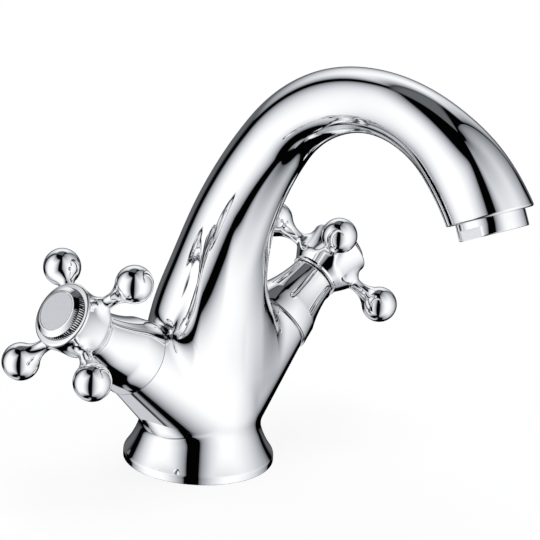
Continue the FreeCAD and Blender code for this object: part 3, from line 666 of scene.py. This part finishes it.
def buildCasting():
    piece = castingCage()
    openBosses(piece)
    tidyMesh(piece)
    applyModifier(piece, "SUBSURF", levels=casting["levels"], render_levels=casting["levels"])
    settleWell(piece, castingForm, [mouthPlane, footPlane, *bossPlanes], rounds=5, repeat=4)
    editMode(piece)
    hollowEnd(piece, mouthPlane, casting["mouthRadius"], [(casting["socketRadius"], casting["socketDepth"])])
    for plane in bossPlanes:
        hollowEnd(piece, plane, casting["bossRadius"], [(casting["boreRadius"], casting["boreDepth"])])
    hollowEnd(piece, (footPlane[0], -footPlane[1]), casting["footRadius"], [
        (casting["sealOuter"], casting["sealHeight"]),
        (casting["sealInner"], -casting["sealHeight"]),
        (casting["recessRadius"], casting["recessHeight"]),
    ])
    softRim(piece, mouthPlane, casting["mouthRadius"], casting["mouthEdge"], segments=5)
    softRim(piece, footPlane, casting["footRadius"], casting["edge"])
    for plane in bossPlanes:
        softRim(piece, plane, casting["bossRadius"], casting["edge"])
    objectMode()
    tidyMesh(piece)
    drillFoot(piece)
    smoothFaces(piece)
    finishPiece(piece, "mixer_body", "chrome", chrome, "body_casting")
    print("casting:", len(piece.data.polygons), "faces")


buildCasting()


# shrouds over the headworks

shroud = {
    "baseRadius": 13.35, "bandRadius": 12.2, "bandHeight": 6.6, "height": 22.2, "topRadius": 8.3,
    "topEdge": 0.5, "bellBend": 48.0, "bellSteps": 12, "wall": 1.1, "collar": 7.0, "collarHeight": 6.0,
    "seam": 0.35, "seamDeep": 0.2, "edge": 0.12, "edgeAngle": 24,
}


def shroudOutline():
    low = valve["bossEnd"]
    bandTop = low + shroud["bandHeight"]
    top = low + shroud["height"]
    outer = shroud["baseRadius"]
    band = (shroud["bandRadius"], bandTop)
    rim = (shroud["topRadius"], top - shroud["topEdge"])
    return [
        (outer - shroud["wall"], low), (outer, low), (outer, low + shroud["seam"]), band,
        *arcPoints(band, rim, -shroud["bellBend"], shroud["bellSteps"]),
        (shroud["topRadius"] - shroud["topEdge"], top), (shroud["collar"], top),
        (shroud["collar"], top - shroud["collarHeight"]), (shroud["bandRadius"] - shroud["wall"], bandTop),
        (outer - shroud["wall"], low),
    ]


def buildShrouds():
    first = turnedPiece("hotShroud", shroudOutline())
    softEdges(first, shroud["edge"], shroud["edgeAngle"])
    smoothFaces(first)
    # the foot of each shroud gets a painted shadow, a dark ring where it meets the boss
    seamTop = (valve["bossEnd"] + shroud["seam"]) * mm
    seamRadius = (shroud["baseRadius"] - shroud["seamDeep"]) * mm
    seam = [face.index for face in first.data.polygons
            if face.center.z < seamTop and face.center.xy.length > seamRadius]
    for side, piece in bothSides(first).items():
        layOnValve(piece, side)
        finishPiece(piece, "mixer_body", "chrome", chrome, f"{side}_shroud")
        # painted shadow on the seam faces
        paintFaces(piece, seam, paintedShade)
    print("shrouds turned")


buildShrouds()


# cross handles: hub with four necks that swell into balls

handle = {
    "back": -7.7, "front": 8.0, "backRadius": 9.0, "lipHeight": 1.0, "lipProud": 0.1, "lipEdge": 0.3,
    "shoulderRadius": 10.7, "shoulderHeight": 2.6, "shoulderSoft": 4.0,
    "rimRadius": 11.15, "rimHeight": 0.9, "rimShare": 0.95, "flareBend": 34.0,
    "socketRadius": 6.6, "webTop": 2.25, "recessRadius": 6.05, "recessDepth": 7.65,
    "neckRadius": 2.2, "ballRadius": 6.3, "ballCircle": 24.2, "joinTurn": 45.0,
    "rootFillet": {-4.0: 7.5, 3.0: 4.6}, "backFillet": 1.6, "phase": 51.0, "sides": 16, "levels": 3,
    "lowRow": 0.7, "armRow": 4.6, "highRow": 6.2, "armStart": 9.5, "armFacing": 0.8,
    "armSteps": [(12.4, 2.6), (14.4, 2.0), (16.6, 2.1), (18.8, 3.2), (21.1, 4.8), (24.2, 5.6), (27.3, 4.8),
                 (29.3, 2.9)],
}


def hubCone(height):
    # radius of the cone from the lip at the back up to the shoulder
    low = handle["back"] + handle["lipHeight"]
    rise = (handle["shoulderRadius"] - handle["backRadius"]) / handle["shoulderHeight"]
    return handle["backRadius"] + rise * (height - low)


def hubWall(height):
    # radius of the hollow wall from the shoulder out to the front rim
    low = handle["back"] + handle["lipHeight"] + handle["shoulderHeight"]
    high = handle["front"] - handle["rimHeight"]
    shoulder, rim = (handle["shoulderRadius"], low), (handle["rimRadius"], high)
    centreR, centreZ = arcCentre(shoulder, rim, -handle["flareBend"])
    return centreR - np.sqrt(np.maximum(handle["flareBend"] ** 2 - (height - centreZ) ** 2, 0))


def coneGap(points):
    return np.hypot(points[:, 0], points[:, 1]) - hubCone(points[:, 2])


def wallGap(points):
    return np.hypot(points[:, 0], points[:, 1]) - hubWall(points[:, 2])


def armGap(points):
    # the nearest of four arms about its own line: a neck, a swelling that stops short of its bend, a ball
    along = np.maximum(np.abs(points[:, 0]), np.abs(points[:, 1]))
    aside = np.minimum(np.abs(points[:, 0]), np.abs(points[:, 1]))
    across = np.hypot(aside, points[:, 2])
    ball, neck, turn = handle["ballRadius"], handle["neckRadius"], math.radians(handle["joinTurn"])
    join = handle["ballCircle"] - ball * math.cos(turn)
    bend = (ball * math.sin(turn) - neck) / (1 - math.cos(turn))
    swell = np.clip(along - (join - bend * math.sin(turn)), 0, bend * 0.99)
    radius = neck + bend - np.sqrt(bend ** 2 - swell ** 2)
    onBall = along > join
    return np.where(onBall, np.hypot(along - handle["ballCircle"], across) - ball, across - radius)


def handleForm(points):
    # the roots of the arms spread further towards the back of the hub, up to the edge of its cone
    fillet = readTable(points[:, 2], handle["rootFillet"])
    arms = withSlope(armGap, points)
    rooted = blended(withSlope(wallGap, points), arms, fillet)
    hub = trimmed(rooted, withSlope(coneGap, points), handle["shoulderSoft"])
    return blended(hub, arms, handle["backFillet"])


def drawArm(piece, turn):
    # pull the four faces on one side of the hub out into a neck and a ball
    row, last = handle["armRow"], handle["armStart"]
    outward = Vector((round(math.cos(turn)), round(math.sin(turn)), 0))
    flat = [0 if part else 1 for part in outward]
    pick(piece, "faces", lambda face: abs(middleOf(face).z) < row * mm
         and middleOf(face).normalized().dot(outward) > handle["armFacing"])
    halfWide, halfHigh = last * math.sin(2 * math.pi / handle["sides"]), row
    for reach, half in handle["armSteps"]:
        bpy.ops.mesh.extrude_region_move(TRANSFORM_OT_translate={"value": outward * (reach - last) * mm})
        centre = outward * reach * mm
        wide, high = half / halfWide, half / halfHigh
        scale = (flat[0] * wide, flat[1] * wide, high)
        bpy.ops.transform.resize(value=scale, center_override=centre)
        last, halfWide, halfHigh = reach, half, half


def handleCage():
    clearSelection()
    low = handle["back"] + handle["lipHeight"]
    bpy.ops.mesh.primitive_circle_add(vertices=handle["sides"], radius=handle["backRadius"] * mm,
                                      location=(0, 0, low * mm))
    piece = bpy.context.object
    piece.name = "hotCrossHandle"
    bpy.ops.object.transform_apply(location=True)
    editMode(piece)
    bpy.ops.mesh.select_all(action="SELECT")
    ring = {"centre": Vector((0, 0, low * mm)), "radius": handle["backRadius"], "turn": 0}
    row = handle["armRow"]
    rimLow = handle["front"] - handle["rimHeight"]
    for height in (low + handle["lowRow"], -row, 0, row, handle["highRow"], rimLow):
        ring = nextRing(ring, (0, 0, height), float(min(hubCone(height), hubWall(height))), 0)
    for number in range(4):
        drawArm(piece, number * math.pi / 2)
    objectMode()
    return piece


def buildHandles():
    first = handleCage()
    tidyMesh(first)
    applyModifier(first, "SUBSURF", levels=handle["levels"], render_levels=handle["levels"])
    front = (np.array([0, 0, handle["front"] - handle["rimHeight"]]), np.array([0, 0, 1.0]))
    back = (np.array([0, 0, handle["back"] + handle["lipHeight"]]), np.array([0, 0, -1.0]))
    settleWell(first, handleForm, [front, back], rounds=6, repeat=3)
    editMode(first)
    lipRadius = handle["backRadius"] + handle["lipProud"]
    hollowEnd(first, front, handle["rimRadius"], [
        (handle["rimRadius"], -handle["rimHeight"]),
        (handle["socketRadius"], handle["front"] - handle["webTop"]),
    ])
    hollowEnd(first, back, handle["backRadius"], [
        (lipRadius, -handle["lipHeight"]),
        (handle["recessRadius"], handle["recessDepth"]),
    ])
    rimTop = (np.array([0, 0, handle["front"]]), front[1])
    lipEnd = (np.array([0, 0, handle["back"]]), back[1])
    softRim(first, rimTop, handle["rimRadius"], handle["rimHeight"] * handle["rimShare"], segments=5)
    softRim(first, lipEnd, lipRadius, handle["lipEdge"])
    objectMode()
    tidyMesh(first)
    smoothFaces(first)
    for side, piece in bothSides(first).items():
        phase = -sideSigns[side] * math.radians(handle["phase"])
        layAt(piece, (0, 0, phase), (0, 0, valve["ballPlane"] * mm))
        layOnValve(piece, side)
        finishPiece(piece, f"{side}_control", "chrome", chrome, f"{side}_cross_handle")
    print("cross handles:", len(first.data.polygons), "faces each")


buildHandles()


# buttons: knurled ring with a bevel, and a bare satin disc in it

button = {
    "shank": 6.55, "shankHeight": 2.0, "radius": 9.2, "taper": 0.4, "wall": 1.7, "bevel": 1.0, "lip": 7.15,
    "seat": 6.72, "disc": 6.6, "thick": 1.2, "teeth": 72, "toothLines": 4, "toothDepth": 0.5, "edge": 0.1,
    "wallSearch": 1.0, "grooveSearch": 0.15,
}


def knurl(piece, low, high):
    # every second pair of lines round the wall is drawn in to cut the teeth
    lineCount = button["toothLines"]
    step = 2 * math.pi / (button["teeth"] * lineCount)
    slack = 1e-6

    def inGroove(corner):
        line = round(math.atan2(corner.co.y, corner.co.x) / step) % lineCount
        onWall = low * mm - slack < corner.co.z < high * mm + slack
        outside = corner.co.xy.length > (button["radius"] - button["wallSearch"]) * mm
        return line in (1, 2) and onWall and outside

    editMode(piece)
    pick(piece, "verts", inGroove)
    scale = (button["radius"] - button["toothDepth"]) / button["radius"]
    bpy.ops.transform.resize(value=(scale, scale, 1), center_override=(0, 0, 0))
    objectMode()


def turnButtonRing(front, wallTop, top, floor):
    edge = button["edge"]
    back = front - button["shankHeight"]
    wallRadius = button["radius"] - button["taper"]
    ring = turnedPiece("hotButtonRing", [
        (0, back), (button["shank"], back), (button["shank"], front),
        (button["radius"] - edge, front), (button["radius"], front + edge),
        (wallRadius, wallTop - edge), (wallRadius - edge, wallTop),
        (button["lip"] + edge, top - edge / 2), (button["lip"], top),
        (button["seat"], top), (button["seat"], floor), (0, floor),
    ], button["teeth"] * button["toothLines"])
    knurl(ring, front + edge, wallTop - edge)
    smoothFaces(ring, meshing["sharpAngle"])
    return ring


def turnDisc(top, floor):
    edge = button["edge"]
    disc = turnedPiece("hotIndexDisc", [
        (0, floor), (button["disc"], floor), (button["disc"], top - edge), (button["disc"] - edge, top),
        (button["disc"] / 2, top), (0, top),
    ])
    smoothFaces(disc)
    return disc


def grooveFaces(ring, front, wallTop):
    # the faces that lie deeper than the tapered wall
    def inTooth(face):
        height, radius = face.center.z / mm, face.center.xy.length / mm
        wall = button["radius"] - button["taper"] * (height - front) / button["wall"]
        inWall = wall - button["wallSearch"] < radius < wall - button["grooveSearch"]
        return front < height < wallTop and inWall

    return [face.index for face in ring.data.polygons if inTooth(face)]


def buildButtons():
    front = valve["ballPlane"] + handle["front"]
    wallTop = front + button["wall"]
    top = wallTop + button["bevel"]
    floor = top - button["thick"]
    ring = turnButtonRing(front, wallTop, top, floor)
    disc = turnDisc(top, floor)
    grooves = grooveFaces(ring, front, wallTop)
    for side, piece in bothSides(ring).items():
        layOnValve(piece, side)
        finishPiece(piece, f"{side}_control", "chrome", chrome, f"{side}_button_ring")
        # the groove faces get dark chrome, a painted shade
        paintFaces(piece, grooves, paintedShade)
    for side, piece in bothSides(disc).items():
        layOnValve(piece, side)
        finishPiece(piece, f"{side}_control", "satin", satin, f"{side}_index_disc")
    print("buttons knurled:", len(grooves), "groove faces")


buildButtons()


# aerator ring in the mouth of the spout, with two flats for a spanner

aerator = {
    "seat": 9.2, "thread": 9.95, "low": 1.5, "skirt": 10.7, "skirtHeight": 5.2, "flat": 9.8,
    "flatHeight": 3.1, "bore": 8.6, "lip": 7.7, "lipHeight": 0.5, "ledge": 3.0, "edge": 0.18,
    "round": 0.4, "roundSteps": 4, "step": 0.02,
}


def aeratorOutline(skirtLow, flatLow, skirtEnd):
    edge, soft = aerator["edge"], aerator["round"]
    seat, thread, low = aerator["seat"], aerator["thread"], aerator["low"]
    skirt, lip, bore = aerator["skirt"], aerator["lip"], aerator["bore"]
    roundStart, roundEnd = (skirt, skirtEnd - soft), (skirt - soft, skirtEnd)
    lipTop = skirtEnd - aerator["lipHeight"]
    return [
        (seat, low), (thread, low), (thread, skirtLow), (skirt - edge, skirtLow), (skirt, skirtLow + edge),
        (skirt, flatLow - aerator["step"]), (skirt, flatLow), roundStart,
        *arcPoints(roundStart, roundEnd, soft, aerator["roundSteps"]),
        (lip + edge, skirtEnd), (lip, skirtEnd - edge), (lip, lipTop), (bore, lipTop),
        (bore, aerator["ledge"]), (seat, aerator["ledge"]), (seat, low),
    ]


def buildAerator():
    skirtLow = casting["socketDepth"]
    skirtEnd = skirtLow + aerator["skirtHeight"]
    flatLow = skirtEnd - aerator["flatHeight"]
    flat, halfStep = aerator["flat"] * mm, aerator["step"] / 2
    piece = turnedPiece("aeratorRing", aeratorOutline(skirtLow, flatLow, skirtEnd))
    editMode(piece)
    for sign in (1, -1):
        pick(piece, "verts", lambda corner: corner.co.x * sign > flat
             and corner.co.z > (flatLow - halfStep) * mm)
        bpy.ops.transform.resize(value=(0, 1, 1), center_override=(sign * flat, 0, 0))
    objectMode()
    smoothFaces(piece, meshing["sharpAngle"])
    flats = [face.index for face in piece.data.polygons if abs(face.normal.x) > 0.99
             and abs(abs(face.center.x) - flat) < halfStep * mm]
    place, normal = mouthPlane
    socketFloor = Vector(place - normal * casting["socketDepth"]) * mm
    layAt(piece, (math.radians(casting["mouthTurn"]), 0, 0), socketFloor)
    finishPiece(piece, "mixer_body", "chrome", chrome, "aerator_housing")
    paintFaces(piece, flats, satin)
    print("aerator ring turned:", len(flats), "faces on its flats")


buildAerator()


# finishes of the CAD nodes that stay

nodeFinishes = {
    "turnedBrass": ("headwork", "spindle"),
    "blackRubber": ("base_seal", "boss_o_ring", "seat_seal", "lower_o_ring", "upper_o_ring",
                    "aerator_washer"),
    "lappedCeramic": ("fixed_disc", "moving_disc"),
    "naturalNylon": ("thrust_washer", "spline_bush", "aerator_cage", "aerator_flow_disc"),
    "stainlessSteel": ("circlip", "handle_screw"),
    "greyPlastic": ("aerator_screen",),
}


def dressNodes():
    for finish, endings in nodeFinishes.items():
        for name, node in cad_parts.items():
            if name.endswith(endings):
                node.data.materials.clear()
                node.data.materials.append(finishes[finish])
    print("CAD nodes dressed")


dressNodes()


# studio: soft boxes in a dark room, and a pale floor

view = {"azimuth": -44.99, "elevation": 17.95, "roll": 3.365, "distance": 791.2,
        "target": (30.1, 0.0, 62.7), "lens": 150.7, "sensor": 36.0}
room = {"strength": 1.13, "corner": 0.3, "gap": 145}
overhead = {"height": 1.5, "energy": 1.9, "spread": 50}
ground = {"size": 6.0, "shade": 0.93, "rough": 0.9, "glow": 0.85}


def placeCamera():
    azimuth, elevation, roll = (math.radians(view[name]) for name in ("azimuth", "elevation", "roll"))
    back = Vector((math.sin(azimuth) * math.cos(elevation), -math.cos(azimuth) * math.cos(elevation),
                   math.sin(elevation)))
    level = Vector((math.cos(azimuth), math.sin(azimuth), 0))
    upright = back.cross(level)
    right = level * math.cos(roll) + upright * math.sin(roll)
    up = upright * math.cos(roll) - level * math.sin(roll)
    place = (Vector(view["target"]) + back * view["distance"]) * mm
    bpy.ops.object.camera_add()
    camera = bpy.context.object
    camera.data.lens = view["lens"]
    camera.data.sensor_width = view["sensor"]
    camera.data.clip_start = 0.01
    turn = Matrix((right, up, back)).transposed().to_4x4()
    camera.matrix_world = Matrix.Translation(place) @ turn
    bpy.context.scene.camera = camera


# edges of each soft box in degrees to the right of the camera or of elevation, with the width that is soft
softBoxes = [
    {"left": (-119, 40), "right": (-18, 38), "low": (-63, 28), "high": (60, 38), "level": 1.0},
    {"left": (4, 44), "right": (138, 80), "low": (-74, 48), "high": (84, 70), "level": 1.0},
    {"left": (60, 40), "right": (150, 90), "low": (12, 20), "high": (84, 70), "level": 0.85},
    {"left": (-213, 26), "right": (-128, 30), "low": (4, 36), "high": (57, 18), "level": 0.95},
    {"left": (-213, 10), "right": (-132, 10), "low": (-20, 12), "high": (30, 10), "level": 0.12},
    {"left": (-197, 10), "right": (-117, 10), "low": (56, 6), "high": (130, 10), "level": 0.12},
    {"left": (-168, 8), "right": (-118, 8), "low": (-82, 6), "high": (-28, 10), "level": 0.55},
    {"left": (-135, 10), "right": (-20, 60), "low": (-130, 10), "high": (-79, 4), "level": 0.36},
]
# brightness from the edge of a soft box inwards, and the cool tone of its dimmer parts
boxEdge = [(0.0, 0.0008), (0.012, 0.1), (0.12, 0.3), (0.3, 0.5), (0.5, 0.7), (0.75, 0.88), (1.0, 1.0)]
boxTone = [(0.0, (0, 0, 0)), (0.2, (0.189, 0.199, 0.214)), (0.6, (0.586, 0.599, 0.628)), (1.0, (1, 1, 1))]


def rampNode(nodes, stops):
    ramp = nodes.new("ShaderNodeValToRGB")
    elements = ramp.color_ramp.elements
    while len(elements) < len(stops):
        elements.new(0.5)
    for element, (place, level) in zip(elements, stops):
        element.position = place
        element.color = (*level, 1) if isinstance(level, tuple) else (level, level, level, 1)
    return ramp


def sumNode(nodes, links, operation, *values):
    node = nodes.new("ShaderNodeMath")
    node.operation = operation
    for socket, value in zip(node.inputs, values):
        if isinstance(value, (int, float)):
            socket.default_value = value
        else:
            links.new(value, socket)
    return node.outputs["Value"]


def rangeNode(nodes, links, source, fromEnds, toEnds):
    scale = nodes.new("ShaderNodeMapRange")
    scale.clamp = False
    for name, value in zip(("From Min", "From Max", "To Min", "To Max"), (*fromEnds, *toEnds)):
        scale.inputs[name].default_value = value
    links.new(source, scale.inputs["Value"])
    return scale.outputs["Result"]


def boxLight(nodes, links, box, around, height):
    # how far inside its nearest edge a direction lies, as a share of the soft part
    sides = (("left", around, 1), ("right", around, -1), ("low", height, 1), ("high", height, -1))
    inside = None
    for name, source, sign in sides:
        edge, soft = box[name]
        share = rangeNode(nodes, links, source, (edge, edge + sign * soft), (0, 1))
        if inside is None:
            inside = share
        else:
            inside = sumNode(nodes, links, "SMOOTH_MIN", inside, share, room["corner"])
    level = rampNode(nodes, boxEdge)
    links.new(inside, level.inputs["Fac"])
    return sumNode(nodes, links, "MULTIPLY", level.outputs["Color"], box["level"])


def roomDirection(nodes, links):
    # degrees to the right of the camera and of elevation, counted from the dark gap behind
    where = nodes.new("ShaderNodeTexCoord")
    swing = nodes.new("ShaderNodeMapping")
    start = 90 - view["azimuth"] + (180 - room["gap"])
    swing.inputs["Rotation"].default_value = (0, 0, math.radians(start))
    links.new(where.outputs["Generated"], swing.inputs["Vector"])
    turn = nodes.new("ShaderNodeTexGradient")
    turn.gradient_type = "RADIAL"
    links.new(swing.outputs["Vector"], turn.inputs["Vector"])
    around = rangeNode(nodes, links, turn.outputs["Fac"], (0, 1), (room["gap"] - 360, room["gap"]))
    split = nodes.new("ShaderNodeSeparateXYZ")
    links.new(where.outputs["Generated"], split.inputs["Vector"])
    height = sumNode(nodes, links, "DEGREES", sumNode(nodes, links, "ARCSINE", split.outputs["Z"]))
    return around, height


def lightRoom():
    # mirrors see the soft boxes and the camera sees plain white
    world = bpy.data.worlds.new("studioRoom")
    bpy.context.scene.world = world
    world.use_nodes = True
    nodes, links = world.node_tree.nodes, world.node_tree.links
    nodes.clear()
    around, height = roomDirection(nodes, links)
    total = None
    for box in softBoxes:
        level = boxLight(nodes, links, box, around, height)
        total = level if total is None else sumNode(nodes, links, "MAXIMUM", total, level)
    tone = rampNode(nodes, boxTone)
    links.new(total, tone.inputs["Fac"])
    light = nodes.new("ShaderNodeBackground")
    light.inputs["Strength"].default_value = room["strength"]
    links.new(tone.outputs["Color"], light.inputs["Color"])
    white = nodes.new("ShaderNodeBackground")
    white.inputs["Color"].default_value = (1, 1, 1, 1)
    path = nodes.new("ShaderNodeLightPath")
    choose = nodes.new("ShaderNodeMixShader")
    links.new(path.outputs["Is Camera Ray"], choose.inputs["Fac"])
    links.new(light.outputs["Background"], choose.inputs[1])
    links.new(white.outputs["Background"], choose.inputs[2])
    out = nodes.new("ShaderNodeOutputWorld")
    links.new(choose.outputs["Shader"], out.inputs["Surface"])


def hangLamp():
    # lights the floor from above and isn't mirrored in the chrome
    bpy.ops.object.light_add(type="SUN", location=(0, 0, overhead["height"]))
    lamp = bpy.context.object
    lamp.name = "overheadLight"
    lamp.data.energy = overhead["energy"]
    lamp.data.angle = math.radians(overhead["spread"])
    lamp.visible_glossy = False


def layFloor():
    clearSelection()
    bpy.ops.mesh.primitive_plane_add(size=ground["size"])
    floor = bpy.context.object
    floor.name = "floor"
    material, nodes, links, shader = newMaterial("paleFloor")
    shader.inputs["Base Color"].default_value = (ground["shade"], ground["shade"], ground["shade"], 1)
    shader.inputs["Roughness"].default_value = ground["rough"]
    shader.inputs["Specular IOR Level"].default_value = 0.0
    glow = nodes.new("ShaderNodeEmission")
    path = nodes.new("ShaderNodeLightPath")
    share = sumNode(nodes, links, "MULTIPLY", path.outputs["Is Camera Ray"], ground["glow"])
    mix = nodes.new("ShaderNodeMixShader")
    links.new(share, mix.inputs["Fac"])
    links.new(shader.outputs["BSDF"], mix.inputs[1])
    links.new(glow.outputs["Emission"], mix.inputs[2])
    links.new(mix.outputs["Shader"], nodes["Material Output"].inputs["Surface"])
    floor.data.materials.append(material)
    floor.visible_glossy = False


placeCamera()
lightRoom()
hangLamp()
layFloor()
bpy.context.scene.view_settings.view_transform = "Standard"
print("studio ready")
